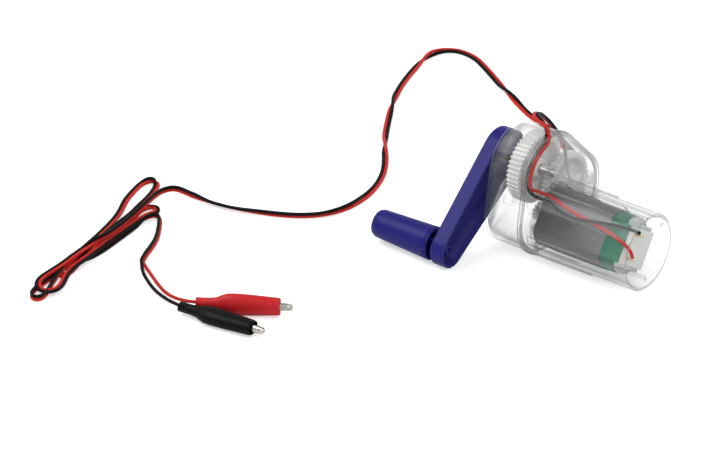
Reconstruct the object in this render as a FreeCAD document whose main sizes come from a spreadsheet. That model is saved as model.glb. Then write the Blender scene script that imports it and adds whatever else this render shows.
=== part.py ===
import FreeCAD, Part
import math
import os
import re

import Sketcher
from FreeCAD import Placement, Rotation, Vector

# Hand crank generator: a clear two-piece gear case with a motor tube, a dark blue crank,
# a two-stage gear train up to the motor, and a twin lead that ends in two sleeved clips.
#
# Local frame of the generator: the motor axis is the X axis, x = 0 is the outer face of the
# back wall, and the open end of the tube points to +X.  Every piece is then moved by FRAME,
# which puts the origin at the bottom centre of the generator without its lead.

DOC = FreeCAD.newDocument("hand_crank_generator")

# ---------------------------------------------------------------- driving sizes (mm, degrees)
SIZES = {
    # motor tube and case shells
    "tube_radius": 17.0, "tube_length": 50.0, "wall": 1.5, "shell_round": 2.2,
    "seam_depth": 3.4, "cover_depth": 19.6, "bead_width": 1.1, "bead_height": 0.8,
    "floor_depth": 17.3, "crank_lobe_radius": 17.5, "idler_lobe_radius": 18.6,
    "idler_lobe_y": 18.5, "rail_thick": 1.0, "rib_width": 4.4, "rib_length": 28.0,
    "rib_height": 0.5, "mouth_setback": 2.0, "brace_height": 1.5,
    # axle places in the YZ plane
    "crank_y": 3.4, "crank_z": 18.6,
    # crank
    "arm_gap": 2.0, "arm_depth": 6.8, "arm_floor": 1.6, "arm_wall": 1.3, "arm_rib": 1.0,
    "crank_length": 47.7, "hub_end_radius": 11.8, "arm_end_radius": 7.8, "arm_round": 1.0,
    "hub_boss_radius": 4.6, "axle_radius": 1.5, "boss_radius": 2.8, "boss_height": 1.2,
    # knob
    "knob_gap": 2.7, "knob_length": 30.1, "knob_mouth_radius": 7.35, "knob_end_radius": 6.2,
    "knob_round": 1.9, "knob_wall": 1.3, "spindle_radius": 2.6, "spindle_foot": 2.35,
    "spindle_rib": 0.9, "journal_length": 9.6, "knob_recess": 3.0,
    # gears: teeth, tooth module and face widths
    "gear_module": 0.65, "drive_teeth": 46, "idler_small_teeth": 10, "idler_large_teeth": 44,
    "pinion_teeth": 10, "drive_width": 6.2, "idler_width": 3.8, "rim_thick": 2.0,
    "web_thick": 1.4, "gear_gap": 1.4, "idler_space": 0.3, "idler_hub_radius": 3.4,
    "idler_pin_radius": 1.0, "drive_hub_radius": 4.2,
    # motor
    "can_radius": 13.0, "can_flat": 10.0, "can_length": 34.0, "can_wall": 0.8,
    "bell_length": 10.0, "bell_step": 1.6, "motor_turn": 146.0, "motor_boss_radius": 3.0,
    "motor_boss_height": 1.7, "shaft_radius": 1.0, "armature_radius": 8.6,
    "magnet_thick": 2.3, "magnet_arc": 71.0, "magnet_setback": 3.0, "armature_setback": 5.0,
    "bell_pocket_radius": 8.4, "bell_corner": 1.6, "brush_width": 2.0, "brush_gap": 0.4,
    "tab_out": 4.0, "tab_aside": 5.3, "tab_width": 2.8, "tab_thick": 0.6, "tab_length": 3.2,
    "screw_offset": 8.0,
    # fits
    "running_fit": 0.06, "seat_gap": 0.1, "screw_radius": 0.95, "screw_head_radius": 1.9,
    # leads
    "wire_radius": 0.75, "lead_radius": 1.5, "hank_height": 4.6,
    # clips
    "clip_length": 40.4, "sleeve_length": 35.2, "neck_radius": 2.2, "neck_length": 8.0,
    "sleeve_wide": 4.85, "sleeve_thin": 3.6, "mouth_wide": 3.95, "mouth_thin": 3.1, "lip_round": 0.25,
    "sleeve_wall": 0.6, "jaw_root_radius": 2.7, "jaw_tip_radius": 1.5, "jaw_sheet": 0.5,
    "jaw_start": 15.0, "pivot_x": 21.0, "pivot_radius": 0.6, "lug_radius": 1.25, "lug_thick": 0.4,
    "lug_rise": 1.4, "jaw_gap": 0.12,
}

SHEET = DOC.addObject("Spreadsheet::Sheet", "Sizes")
for row, (alias, number) in enumerate(SIZES.items(), start=1):
    SHEET.set("A%d" % row, alias)
    SHEET.set("B%d" % row, str(number))
    SHEET.setAlias("B%d" % row, alias)
DOC.recompute()


def bind(text):
    """Write a formula of size names as an expression on the sheet."""
    def on_sheet(match):
        name = match.group(0)
        return "Sizes." + name if name in SIZES else name
    return re.sub(r"[a-z_]{3,}", on_sheet, text)


def num(text):
    """Value of a formula of size names."""
    return float(SHEET.evalExpression(bind(text)))


# ---------------------------------------------------------------- stack-up along the motor axis
FRONT = "(0 - seam_depth - cover_depth)"
FRONT_IN = "(wall - seam_depth - cover_depth)"
SEAM = "(0 - seam_depth)"
BACK_IN = "(0 - wall)"
ARM_IN = "(0 - seam_depth - cover_depth - arm_gap)"
ARM_OUT = "(0 - seam_depth - cover_depth - arm_gap - arm_depth)"
KNOB_IN = "(0 - seam_depth - cover_depth - arm_gap - arm_depth - knob_gap)"
KNOB_OUT = "(0 - seam_depth - cover_depth - arm_gap - arm_depth - knob_gap - knob_length)"
IDLER_BACK = "(0 - wall - boss_height - idler_space - 0.4)"
IDLER_FRONT = "(0 - wall - boss_height - idler_space - 0.4 - idler_width)"
DRIVE_BACK = "(0 - wall - boss_height - idler_space - 0.4 - idler_width - gear_gap)"
DRIVE_FRONT = "(0 - wall - boss_height - idler_space - 0.4 - idler_width - gear_gap - drive_width)"

# The crank stands with its knob end on the same floor as the case.
KNOB_DROP = "(crank_z + floor_depth - arm_end_radius)"
KNOB_REACH = "sqrt(crank_length ^ 2 - (crank_z + floor_depth - arm_end_radius) ^ 2)"
FRAME_X = "((seam_depth + cover_depth + arm_gap + arm_depth + knob_gap + knob_length - tube_length) / 2)"
FRAME_Y = ("((%s - crank_y + arm_end_radius - idler_lobe_y - idler_lobe_radius - bead_height) / 2)"
           % KNOB_REACH)
FRAME_Z = "floor_depth"

crank_axis = Vector(0, num("crank_y"), num("crank_z"))
crank_angle = 180 + math.degrees(math.atan2(num(KNOB_DROP), num(KNOB_REACH)))
knob_axis = Vector(0, num("crank_y") - num(KNOB_REACH), num("crank_z") - num(KNOB_DROP))

# The idler axle lies where both gear pairs mesh: beside the line from the motor to the crank.
first_centres = num("gear_module * (drive_teeth + idler_small_teeth) / 2")
second_centres = num("gear_module * (idler_large_teeth + pinion_teeth) / 2")
motor_to_crank = crank_axis.Length
along = (second_centres ** 2 - first_centres ** 2 + motor_to_crank ** 2) / (2 * motor_to_crank)
aside = math.sqrt(second_centres ** 2 - along ** 2)
toward_crank = Vector(crank_axis).normalize()
idler_axis = toward_crank * along + Vector(0, toward_crank.z, -toward_crank.y) * aside
motor_axis = Vector(0, 0, 0)

FRAME = Vector(num(FRAME_X), num(FRAME_Y), num(FRAME_Z))
idler_lobe_z = num("idler_lobe_radius - floor_depth")
LOBES = [(0.0, 0.0, num("floor_depth")),
         (num("idler_lobe_y"), idler_lobe_z, num("idler_lobe_radius")),
         (crank_axis.y, crank_axis.z, num("crank_lobe_radius"))]
PIECES = []


# ---------------------------------------------------------------- drawing helpers
def new_body(label, axis=None, turn=0.0, base=None):
    """A body named after its piece, carried by an axis parallel to X and turned about it."""
    body = DOC.addObject("PartDesign::Body", label)
    body.Label = label
    where = FRAME + (axis or motor_axis) if base is None else base
    body.Placement = Placement(where, Rotation(Vector(1, 0, 0), turn))
    PIECES.append(body)
    return body


def sketch_in(body, role, offset="0", turn=0.0):
    """A sketch on one of the body's own planes, moved along that plane's normal."""
    sketch = body.newObject("Sketcher::SketchObject", body.Label + "_sketch")
    plane = [feature for feature in body.Origin.OriginFeatures if feature.Role == role][0]
    sketch.AttachmentSupport = [(plane, "")]
    sketch.MapMode = "FlatFace"
    if turn:
        tilt = Rotation(Vector(1, 0, 0), turn)
        sketch.AttachmentOffset = Placement(tilt.multVec(Vector(0, 0, num(offset))), tilt)
    else:
        sketch.setExpression("AttachmentOffset.Base.z", bind(offset))
    return sketch


def pin_point(sketch, shape, corner, across, upward):
    """Hold a point of the sketch at two formulas."""
    for kind, text in (("DistanceX", across), ("DistanceY", upward)):
        where = sketch.addConstraint(Sketcher.Constraint(kind, -1, 1, shape, corner, num(text)))
        sketch.setExpression("Constraints[%d]" % where, bind(text))


def draw_circle(sketch, radius, across="0", upward="0"):
    centre = Vector(num(across), num(upward), 0)
    shape = sketch.addGeometry(Part.Circle(centre, Vector(0, 0, 1), num(radius)), False)
    held = sketch.addConstraint(Sketcher.Constraint("Radius", shape, num(radius)))
    sketch.setExpression("Constraints[%d]" % held, bind(radius))
    pin_point(sketch, shape, 3, across, upward)


def draw_polygon(sketch, corners):
    """A closed outline whose corners are pairs of formulas."""
    places = [Vector(num(across), num(upward), 0) for across, upward in corners]
    count = len(corners)
    first = len(sketch.Geometry)
    for index in range(count):
        sketch.addGeometry(Part.LineSegment(places[index], places[(index + 1) % count]), False)
    for index in range(count):
        follower = first + (index + 1) % count
        sketch.addConstraint(Sketcher.Constraint("Coincident", first + index, 2, follower, 1))
    for index, (across, upward) in enumerate(corners):
        pin_point(sketch, first + index, 1, across, upward)


def draw_box(sketch, low_across, high_across, low_upward, high_upward):
    draw_polygon(sketch, [(low_across, low_upward), (high_across, low_upward),
                          (high_across, high_upward), (low_across, high_upward)])


def draw_points(sketch, points):
    """A closed outline through points that a formula of the shape gives."""
    for index, point in enumerate(points):
        sketch.addGeometry(Part.LineSegment(point, points[(index + 1) % len(points)]), False)


def draw_hull(sketch, circles):
    """The tangent outline round circles given anticlockwise as (across, upward, radius)."""
    count = len(circles)
    normals = []
    for index, (across, upward, radius) in enumerate(circles):
        next_across, next_upward, next_radius = circles[(index + 1) % count]
        run = Vector(next_across - across, next_upward - upward, 0)
        lean = (radius - next_radius) / run.Length
        ahead = Vector(run).normalize()
        aside_of_run = Vector(ahead.y, -ahead.x, 0)
        normals.append(ahead * lean + aside_of_run * math.sqrt(1 - lean ** 2))
    for index, (across, upward, radius) in enumerate(circles):
        centre = Vector(across, upward, 0)
        arrive = normals[index - 1]
        leave = normals[index]
        start = math.atan2(arrive.y, arrive.x)
        end = math.atan2(leave.y, leave.x)
        if end < start:
            end += 2 * math.pi
        circle = Part.Circle(centre, Vector(0, 0, 1), radius)
        sketch.addGeometry(Part.ArcOfCircle(circle, start, end), False)
        next_across, next_upward, next_radius = circles[(index + 1) % count]
        far_point = Vector(next_across, next_upward, 0) + leave * next_radius
        sketch.addGeometry(Part.LineSegment(centre + leave * radius, far_point), False)


def case_outline(sketch, grow):
    """The case outline round the motor, idler and crank axles, grown by a formula."""
    draw_hull(sketch, [(across, upward, radius + num(grow)) for across, upward, radius in LOBES])


def pad(body, sketch, length, backward=False):
    feature = body.newObject("PartDesign::Pad", body.Label + "_pad")
    feature.Profile = sketch
    feature.setExpression("Length", bind(length))
    feature.Reversed = backward
    sketch.Visibility = False
    return feature


def cut(body, sketch, length, backward=False):
    """A pocket along the sketch's normal; it has to take material away."""
    DOC.recompute()
    before = body.Shape.Volume
    feature = body.newObject("PartDesign::Pocket", body.Label + "_pocket")
    feature.Profile = sketch
    feature.setExpression("Length", bind(length))
    feature.Reversed = not backward
    DOC.recompute()
    if body.Shape.Volume >= before - 1e-6:
        raise RuntimeError("a pocket of %s cuts nothing" % body.Label)
    return feature


def turn_round(body, sketch):
    """A solid turned about the X axis from a half section in the XY plane."""
    feature = body.newObject("PartDesign::Revolution", body.Label + "_turning")
    feature.Profile = sketch
    feature.ReferenceAxis = (sketch, ["H_Axis"])
    feature.Angle = 360
    return feature


def turned(label, section, axis=None, turn=0.0, base=None):
    """A turned piece from the corners (x, radius) of its half section."""
    body = new_body(label, axis, turn, base)
    sketch = sketch_in(body, "XY_Plane")
    draw_polygon(sketch, section)
    turn_round(body, sketch)
    return body


def round_edges(body, radius, wanted):
    """Round the edges of the body's shape that a test picks out."""
    DOC.recompute()
    tip = body.Tip
    names = []
    for number, edge in enumerate(tip.Shape.Edges, start=1):
        spots = [vertex.Point for vertex in edge.Vertexes] + [edge.valueAt(
            (edge.FirstParameter + edge.LastParameter) / 2)]
        if wanted(spots):
            names.append("Edge%d" % number)
    feature = body.newObject("PartDesign::Fillet", body.Label + "_rounding")
    feature.Base = (tip, names)
    feature.setExpression("Radius", bind(radius))
    return feature


# ---------------------------------------------------------------- gear teeth
PRESSURE_ANGLE = math.radians(25)
ADDENDUM = 0.95
DEDENDUM = 1.2
BACKLASH = 0.09
FLANK_STEPS = 3


def involute(angle):
    return math.tan(angle) - angle


def gear_points(teeth, module, phase):
    """Outline of an involute gear with one tooth centred at the phase angle (degrees)."""
    pitch_radius = module * teeth / 2
    base_radius = pitch_radius * math.cos(PRESSURE_ANGLE)
    tip_radius = pitch_radius + ADDENDUM * module
    root_radius = pitch_radius - DEDENDUM * module
    half_tooth = math.pi / (2 * teeth) - BACKLASH / (2 * pitch_radius) + involute(PRESSURE_ANGLE)
    start_radius = max(base_radius, root_radius)
    flank = []
    for step in range(FLANK_STEPS + 1):
        radius = start_radius + (tip_radius - start_radius) * step / FLANK_STEPS
        lean = involute(math.acos(min(1.0, base_radius / radius)))
        flank.append((radius, half_tooth - lean))
    if root_radius < base_radius:
        flank.insert(0, (root_radius, half_tooth))
    points = []
    for tooth in range(int(teeth)):
        middle = math.radians(phase) + 2 * math.pi * tooth / teeth
        for radius, half in flank:
            points.append(Vector(radius * math.cos(middle - half), radius * math.sin(middle - half), 0))
        for radius, half in reversed(flank):
            points.append(Vector(radius * math.cos(middle + half), radius * math.sin(middle + half), 0))
    return points


def angle_between(here, there):
    return math.degrees(math.atan2(there.z - here.z, there.y - here.y))


crank_to_idler = angle_between(crank_axis, idler_axis)
idler_to_motor = angle_between(idler_axis, motor_axis)
small_phase = crank_to_idler + 180 + 180 / num("idler_small_teeth")
pinion_phase = idler_to_motor + 180 + 180 / num("pinion_teeth")


# ---------------------------------------------------------------- clear shells
def motor_side(depth_across, depth_along):
    """A point beside the motor: distance out from its flat side, and along that side (mm)."""
    lean = math.radians(num("motor_turn"))
    outward = Vector(0, math.cos(lean), math.sin(lean))
    sideways = Vector(0, math.sin(lean), -math.cos(lean))
    return outward * depth_across + sideways * depth_along


RED_HOLE = motor_side(num("can_flat") + 2.0, 7.9)
BLACK_HOLE = motor_side(num("can_flat") + 2.2, 5.6)
EXIT_X = "(0 - seam_depth - 0.4)"
EXIT_Y = 2.3
LATCH_X = "(0 - seam_depth - 10.2)"
LATCH_LENGTH = "4.4"
LATCH_LOW = 9.0
LATCH_HIGH = 17.5
BRACE_CORNERS = [(6.4, 32.2), (10.4, 12.3), (11.6, 12.5), (7.6, 32.4)]


def cable_notch(body):
    """The notch at the top of the seam that lets the twin lead out."""
    notch = sketch_in(body, "YZ_Plane", "%s - 1.75" % EXIT_X)
    draw_box(notch, "%s - lead_radius - 0.15" % EXIT_Y, "%s + lead_radius + 0.15" % EXIT_Y,
             "crank_z + crank_lobe_radius - 2.4 * wall", "crank_z + crank_lobe_radius + 3")
    cut(body, notch, "3.5")


def flat_foot(body):
    """The beads are flush with the case where it stands on the table."""
    foot = sketch_in(body, "YZ_Plane", "%s - bead_width" % SEAM)
    draw_box(foot, "0 - tube_radius - 3", "idler_lobe_y + idler_lobe_radius", "0 - floor_depth - 3",
             "0 - floor_depth")
    cut(body, foot, "2 * bead_width")


def near_wall(height, inward):
    """A point at the straight near wall: its height, and its depth in from the outer face (mm)."""
    foot_radius = LOBES[0][2]
    across, upward, head_radius = LOBES[2]
    lean = (head_radius - foot_radius) / math.hypot(across, upward)
    ahead = Vector(across, upward, 0).normalize()
    outward = Vector(-ahead.y, ahead.x, 0) * math.sqrt(1 - lean ** 2) - ahead * lean
    along_wall = Vector(outward.y, -outward.x, 0)
    foot = outward * foot_radius
    return foot + along_wall * ((height - foot.y) / along_wall.y) - outward * inward


def near_latch(sketch, low, high, shallow, deep):
    """A box along the near wall, from one height to another and from one depth to another."""
    draw_points(sketch, [near_wall(low, shallow), near_wall(high, shallow), near_wall(high, deep),
                         near_wall(low, deep)])


def latch_windows(sketch):
    """Two latch windows: in the near wall beside the crank and in the far wall of the idler lobe."""
    far = "(idler_lobe_y + idler_lobe_radius)"
    near_latch(sketch, LATCH_LOW, LATCH_HIGH, -1, num("wall") + 0.5)
    draw_box(sketch, far + " - wall - 0.5", far + " + 1.2", "0 - 2.9", "5.6")


def latch_tongues(sketch):
    """The two tongues of the back shell, just inside the walls at the windows."""
    far = "(idler_lobe_y + idler_lobe_radius - wall - seat_gap)"
    near_latch(sketch, LATCH_LOW + 1, LATCH_HIGH - 2, num("wall + seat_gap"), num("wall + seat_gap") + 1)
    draw_box(sketch, far + " - 1.3", far + " - 0.3", "0 - 1.9", "4.6")


def gear_cover():
    body = new_body("gear_cover")
    outline = sketch_in(body, "YZ_Plane", FRONT)
    case_outline(outline, "0")
    pad(body, outline, "cover_depth")
    front = num(FRONT)
    round_edges(body, "shell_round", lambda spots: all(abs(spot.x - front) < 1e-4 for spot in spots))
    bead = sketch_in(body, "YZ_Plane", "%s - bead_width" % SEAM)
    case_outline(bead, "bead_height")
    pad(body, bead, "bead_width")
    flat_foot(body)
    boss = sketch_in(body, "YZ_Plane", FRONT)
    draw_circle(boss, "boss_radius + 1", "crank_y", "crank_z")
    pad(body, boss, "boss_height", backward=True)
    inside = sketch_in(body, "YZ_Plane", FRONT_IN)
    case_outline(inside, "0 - wall")
    cut(body, inside, "cover_depth")
    idler_boss = sketch_in(body, "YZ_Plane", FRONT_IN)
    draw_points_circle(idler_boss, idler_axis, num("idler_pin_radius") + 1.6)
    pad(body, idler_boss, "(%s) - (%s) - 0.3 - 0.4" % (DRIVE_FRONT, FRONT_IN))
    crank_boss = sketch_in(body, "YZ_Plane", FRONT_IN)
    draw_circle(crank_boss, "boss_radius + 1", "crank_y", "crank_z")
    pad(body, crank_boss, "(%s) - (%s) - 1.4" % (DRIVE_FRONT, FRONT_IN))
    bore = sketch_in(body, "YZ_Plane", "%s - boss_height - 1" % FRONT)
    draw_circle(bore, "axle_radius + running_fit", "crank_y", "crank_z")
    cut(body, bore, "cover_depth")
    pin_hole = sketch_in(body, "YZ_Plane", FRONT_IN)
    draw_points_circle(pin_hole, idler_axis, num("idler_pin_radius"))
    cut(body, pin_hole, "cover_depth")
    window = sketch_in(body, "YZ_Plane", LATCH_X)
    latch_windows(window)
    cut(body, window, LATCH_LENGTH)
    cable_notch(body)
    return body


def draw_points_circle(sketch, axis, radius):
    """A circle at an axle whose place comes from the gear centres."""
    sketch.addGeometry(Part.Circle(Vector(axis.y, axis.z, 0), Vector(0, 0, 1), radius), False)


def motor_housing():
    body = new_body("motor_housing")
    plate = sketch_in(body, "YZ_Plane", SEAM)
    case_outline(plate, "0")
    pad(body, plate, "seam_depth")
    round_edges(body, "shell_round * 0.7", lambda spots: all(abs(spot.x) < 1e-4 for spot in spots))
    bead = sketch_in(body, "YZ_Plane", SEAM)
    case_outline(bead, "bead_height")
    pad(body, bead, "bead_width")
    flat_foot(body)
    tube = sketch_in(body, "YZ_Plane", BACK_IN)
    draw_circle(tube, "tube_radius")
    pad(body, tube, "tube_length + wall")
    rib = sketch_in(body, "XY_Plane", "tube_radius - 0.8", turn=num("motor_turn") - 90 + 2)
    half = num("rib_width") / 2
    straight = num("rib_length") - half
    rib.addGeometry(Part.LineSegment(Vector(0, -half, 0), Vector(straight, -half, 0)), False)
    rib.addGeometry(Part.ArcOfCircle(Part.Circle(Vector(straight, 0, 0), Vector(0, 0, 1), half),
                                     -math.pi / 2, math.pi / 2), False)
    rib.addGeometry(Part.LineSegment(Vector(straight, half, 0), Vector(0, half, 0)), False)
    rib.addGeometry(Part.LineSegment(Vector(0, half, 0), Vector(0, -half, 0)), False)
    ribs = pad(body, rib, "0.8 + rib_height")
    DOC.recompute()
    pattern = body.newObject("PartDesign::PolarPattern", "rib_pattern")
    pattern.Originals = [ribs]
    pattern.Axis = ([f for f in body.Origin.OriginFeatures if f.Role == "X_Axis"][0], [""])
    pattern.Angle = 360
    pattern.Occurrences = 8
    body.Tip = pattern
    tube_bore = sketch_in(body, "YZ_Plane")
    draw_circle(tube_bore, "tube_radius - wall")
    cut(body, tube_bore, "tube_length")
    inside = sketch_in(body, "YZ_Plane", SEAM)
    case_outline(inside, "0 - wall")
    cut(body, inside, "seam_depth - wall")
    rails = sketch_in(body, "YZ_Plane", BACK_IN)
    for side, spread in ((-90, 27), (90, 39)):
        for sign in (-1, 1):
            rail_angle = math.radians(num("motor_turn") + side + sign * spread)
            ray = Vector(math.cos(rail_angle), math.sin(rail_angle), 0)
            beside = Vector(-ray.y, ray.x, 0) * (num("rail_thick") / 2)
            low = ray * num("can_radius + seat_gap")
            high = ray * num("tube_radius - wall / 2")
            draw_points(rails, [low - beside, high - beside, high + beside, low + beside])
    pad(body, rails, "tube_length + wall - mouth_setback")
    bosses = sketch_in(body, "YZ_Plane", BACK_IN)
    draw_circle(bosses, "boss_radius", "crank_y", "crank_z")
    draw_points_circle(bosses, idler_axis, num("idler_pin_radius") + 1.6)
    pad(body, bosses, "boss_height", backward=True)
    tongues = sketch_in(body, "YZ_Plane", LATCH_X)
    latch_tongues(tongues)
    pad(body, tongues, "(%s) - (%s)" % (BACK_IN, LATCH_X))
    brace = sketch_in(body, "YZ_Plane", "0 - wall / 2")
    draw_points(brace, [Vector(across, upward, 0) for across, upward in BRACE_CORNERS])
    pad(body, brace, "wall / 2 + brace_height")
    holes = sketch_in(body, "YZ_Plane", "0 - wall - boss_height - 1")
    draw_circle(holes, "axle_radius + running_fit", "crank_y", "crank_z")
    draw_circle(holes, "motor_boss_radius + seat_gap")
    for hole in (RED_HOLE, BLACK_HOLE):
        draw_points_circle(holes, hole, num("wire_radius") + 0.15)
    for sign in (-1, 1):
        draw_points_circle(holes, motor_side(0, sign * num("screw_offset")), num("screw_radius") + 0.1)
    cut(body, holes, "wall + boss_height + 2")
    pin_hole = sketch_in(body, "YZ_Plane", "0 - wall - boss_height")
    draw_points_circle(pin_hole, idler_axis, num("idler_pin_radius"))
    cut(body, pin_hole, "boss_height + wall / 2")
    cable_notch(body)
    return body


# ---------------------------------------------------------------- crank
def crank_arm():
    """Tapered arm, open like a channel towards the case, with a long middle rib."""
    body = new_body("crank_arm", crank_axis, crank_angle)
    hub = num("hub_end_radius")
    end = num("arm_end_radius")
    length = num("crank_length")
    wall = num("arm_wall")
    outline = sketch_in(body, "YZ_Plane", ARM_OUT)
    draw_hull(outline, [(0, 0, hub), (length, 0, end)])
    pad(body, outline, "arm_depth")
    outer_face = num(ARM_OUT)
    round_edges(body, "arm_round", lambda spots: all(abs(spot.x - outer_face) < 1e-4 for spot in spots))
    channel = sketch_in(body, "YZ_Plane", "%s + arm_floor" % ARM_OUT)
    draw_hull(channel, [(0, 0, hub - wall), (length, 0, end - wall)])
    cut(body, channel, "arm_depth")
    ribs = sketch_in(body, "YZ_Plane", "%s + arm_floor" % ARM_OUT)
    draw_box(ribs, "hub_boss_radius - 0.5", "crank_length + arm_end_radius - arm_wall / 2",
             "0 - arm_rib / 2", "arm_rib / 2")
    pad(body, ribs, "arm_depth - arm_floor - 1.4")
    bosses = sketch_in(body, "YZ_Plane", "%s + arm_floor" % ARM_OUT)
    draw_circle(bosses, "hub_boss_radius")
    pad(body, bosses, "arm_depth - arm_floor")
    holes = sketch_in(body, "YZ_Plane", "%s - 1" % ARM_OUT)
    draw_circle(holes, "axle_radius")
    draw_circle(holes, "spindle_foot", "crank_length")
    cut(body, holes, "arm_depth + 2")
    return body


def crank_axle():
    """Steel axle through the arm, the cover, the drive gear and the back wall."""
    front = "%s + 0.4" % ARM_OUT
    return turned("crank_axle", [(front, "screw_radius"), (front, "axle_radius"), ("0", "axle_radius"),
                                 ("0", "0"), (front + " + 6", "0"), (front + " + 6", "screw_radius")],
                  crank_axis)


def pan_screw(label, axis, face, shank, head, tall, long, turn=0.0):
    """A pan head screw whose head sits on a face and whose shank points to +X, cross recess cut."""
    body = turned(label, [(face + " - " + tall, "0"), (face + " - " + tall, head + " - 0.4"),
                          (face + " - " + tall + " / 2", head), (face, head), (face, shank),
                          (face + " + " + long, shank), (face + " + " + long, "0")], axis, turn)
    cross = sketch_in(body, "YZ_Plane", face + " - " + tall)
    half_length = "(" + head + ") * 0.6"
    arm = "0.25"
    draw_polygon(cross, [("0 - " + half_length, "0 - " + arm), ("0 - " + arm, "0 - " + arm),
                         ("0 - " + arm, "0 - " + half_length), (arm, "0 - " + half_length),
                         (arm, "0 - " + arm), (half_length, "0 - " + arm), (half_length, arm), (arm, arm),
                         (arm, half_length), ("0 - " + arm, half_length), ("0 - " + arm, arm),
                         ("0 - " + half_length, arm)])
    cut(body, cross, tall + " * 0.6")
    return body


def crank_knob():
    """Tapered hollow knob that turns on the last stretch of its spindle."""
    seat = "(%s) + knob_recess" % KNOB_OUT
    inner = "(%s) + knob_recess + journal_length" % KNOB_OUT
    body = new_body("crank_knob", knob_axis)
    section = sketch_in(body, "XY_Plane")
    draw_polygon(section, [
        (KNOB_IN, "knob_mouth_radius - 0.35"), ("(%s) - 0.5" % KNOB_IN, "knob_mouth_radius"),
        ("(%s) + knob_round" % KNOB_OUT, "knob_end_radius"),
        ("(%s) + 0.3 * knob_round" % KNOB_OUT, "knob_end_radius - 0.3 * knob_round"),
        (KNOB_OUT, "knob_end_radius - knob_round"), (KNOB_OUT, "spindle_radius + 1"),
        (seat, "spindle_radius + 1"), (seat, "spindle_radius + running_fit"),
        (inner, "spindle_radius + running_fit"), (inner, "knob_end_radius - knob_wall"),
        (KNOB_IN, "knob_mouth_radius - knob_wall")])
    turn_round(body, section)
    return body


def knob_spindle():
    """Fixed spindle: a foot through the arm, a ribbed stretch and a smooth journal."""
    foot = "(%s) + arm_floor + 3.2" % ARM_OUT
    shoulder = ARM_OUT
    journal = "(%s) + knob_recess + journal_length + 0.3" % KNOB_OUT
    tip = "(%s) + knob_recess - 0.1" % KNOB_OUT
    body = turned("knob_spindle", [
        (foot, "screw_radius"), (foot, "spindle_foot"), (shoulder, "spindle_foot"),
        (shoulder, "spindle_foot + 0.9"), ("(%s) - 0.8" % shoulder, "spindle_foot + 0.9"),
        ("(%s) - 0.8" % shoulder, "spindle_foot - 0.3"), (journal, "spindle_foot - 0.3"),
        (journal, "spindle_radius"), (tip, "spindle_radius"), (tip, "screw_radius")],
        knob_axis, crank_angle)
    ribs = sketch_in(body, "YZ_Plane", "%s + 0.6" % journal)
    reach = "(knob_end_radius - knob_wall - 0.35)"
    half = "spindle_rib / 2"
    core = "(spindle_foot - 0.5)"
    for sign in ("", "0 - "):
        draw_box(ribs, sign + core, sign + reach, "0 - " + half, half)
        draw_box(ribs, "0 - " + half, half, sign + core, sign + reach)
    pad(body, ribs, "(%s) - 0.8 - (%s) - 0.6" % (shoulder, journal))
    return body


# ---------------------------------------------------------------- gears
def toothed_wheel(label, axis, teeth, phase, back, front, width, hub_radius, bore, hub_back, hub_front):
    """A wheel with a rim, a thin web with round openings, and a hub."""
    body = new_body(label, axis)
    outline = sketch_in(body, "YZ_Plane", front)
    draw_points(outline, gear_points(num(teeth), num("gear_module"), phase))
    pad(body, outline, width)
    root = "(gear_module * (%s / 2 - 1.2) - rim_thick)" % teeth
    for start, depth in ((front, "(%s - web_thick) / 2" % width),
                         ("(%s) - (%s - web_thick) / 2" % (back, width), "(%s - web_thick) / 2" % width)):
        dish = sketch_in(body, "YZ_Plane", start)
        draw_circle(dish, root)
        cut(body, dish, depth)
    hub = sketch_in(body, "YZ_Plane", hub_front)
    draw_circle(hub, hub_radius)
    pad(body, hub, "(%s) - (%s)" % (hub_back, hub_front))
    hole = sketch_in(body, "YZ_Plane", "%s - 1" % hub_front)
    draw_circle(hole, bore)
    cut(body, hole, "(%s) - (%s) + 2" % (hub_back, hub_front))
    return body


def drive_gear():
    return toothed_wheel("drive_gear", crank_axis, "drive_teeth", crank_to_idler, DRIVE_BACK, DRIVE_FRONT,
                         "drive_width", "drive_hub_radius", "axle_radius",
                         "%s + 0.5" % DRIVE_BACK, "%s - 1" % DRIVE_FRONT)


def idler_gear():
    """Compound gear: the small pinion meshes with the drive gear, the wheel with the motor pinion."""
    body = toothed_wheel("idler_gear", idler_axis, "idler_large_teeth", idler_to_motor, IDLER_BACK,
                         IDLER_FRONT, "idler_width", "idler_hub_radius",
                         "idler_pin_radius + running_fit", IDLER_BACK, IDLER_FRONT)
    pinion = sketch_in(body, "YZ_Plane", "%s - 0.4" % DRIVE_FRONT)
    draw_points(pinion, gear_points(num("idler_small_teeth"), num("gear_module"), small_phase))
    draw_circle(pinion, "idler_pin_radius + running_fit")
    pad(body, pinion, "(%s) - (%s) + 0.4" % (IDLER_FRONT, DRIVE_FRONT))
    return body


def motor_pinion():
    body = new_body("motor_pinion")
    outline = sketch_in(body, "YZ_Plane", "%s - 0.3" % IDLER_FRONT)
    draw_points(outline, gear_points(num("pinion_teeth"), num("gear_module"), pinion_phase))
    draw_circle(outline, "shaft_radius")
    pad(body, outline, "idler_width + 0.6")
    return body


# ---------------------------------------------------------------- motor
def draw_flatted(sketch, radius, flat):
    """A circle with two flats square to the sketch's first axis."""
    half = math.acos(flat / radius)
    circle = Part.Circle(Vector(0, 0, 0), Vector(0, 0, 1), radius)
    rise = math.sqrt(radius ** 2 - flat ** 2)
    sketch.addGeometry(Part.ArcOfCircle(circle, half, math.pi - half), False)
    sketch.addGeometry(Part.LineSegment(Vector(-flat, rise, 0), Vector(-flat, -rise, 0)), False)
    sketch.addGeometry(Part.ArcOfCircle(circle, math.pi + half, 2 * math.pi - half), False)
    sketch.addGeometry(Part.LineSegment(Vector(flat, -rise, 0), Vector(flat, rise, 0)), False)


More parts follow.
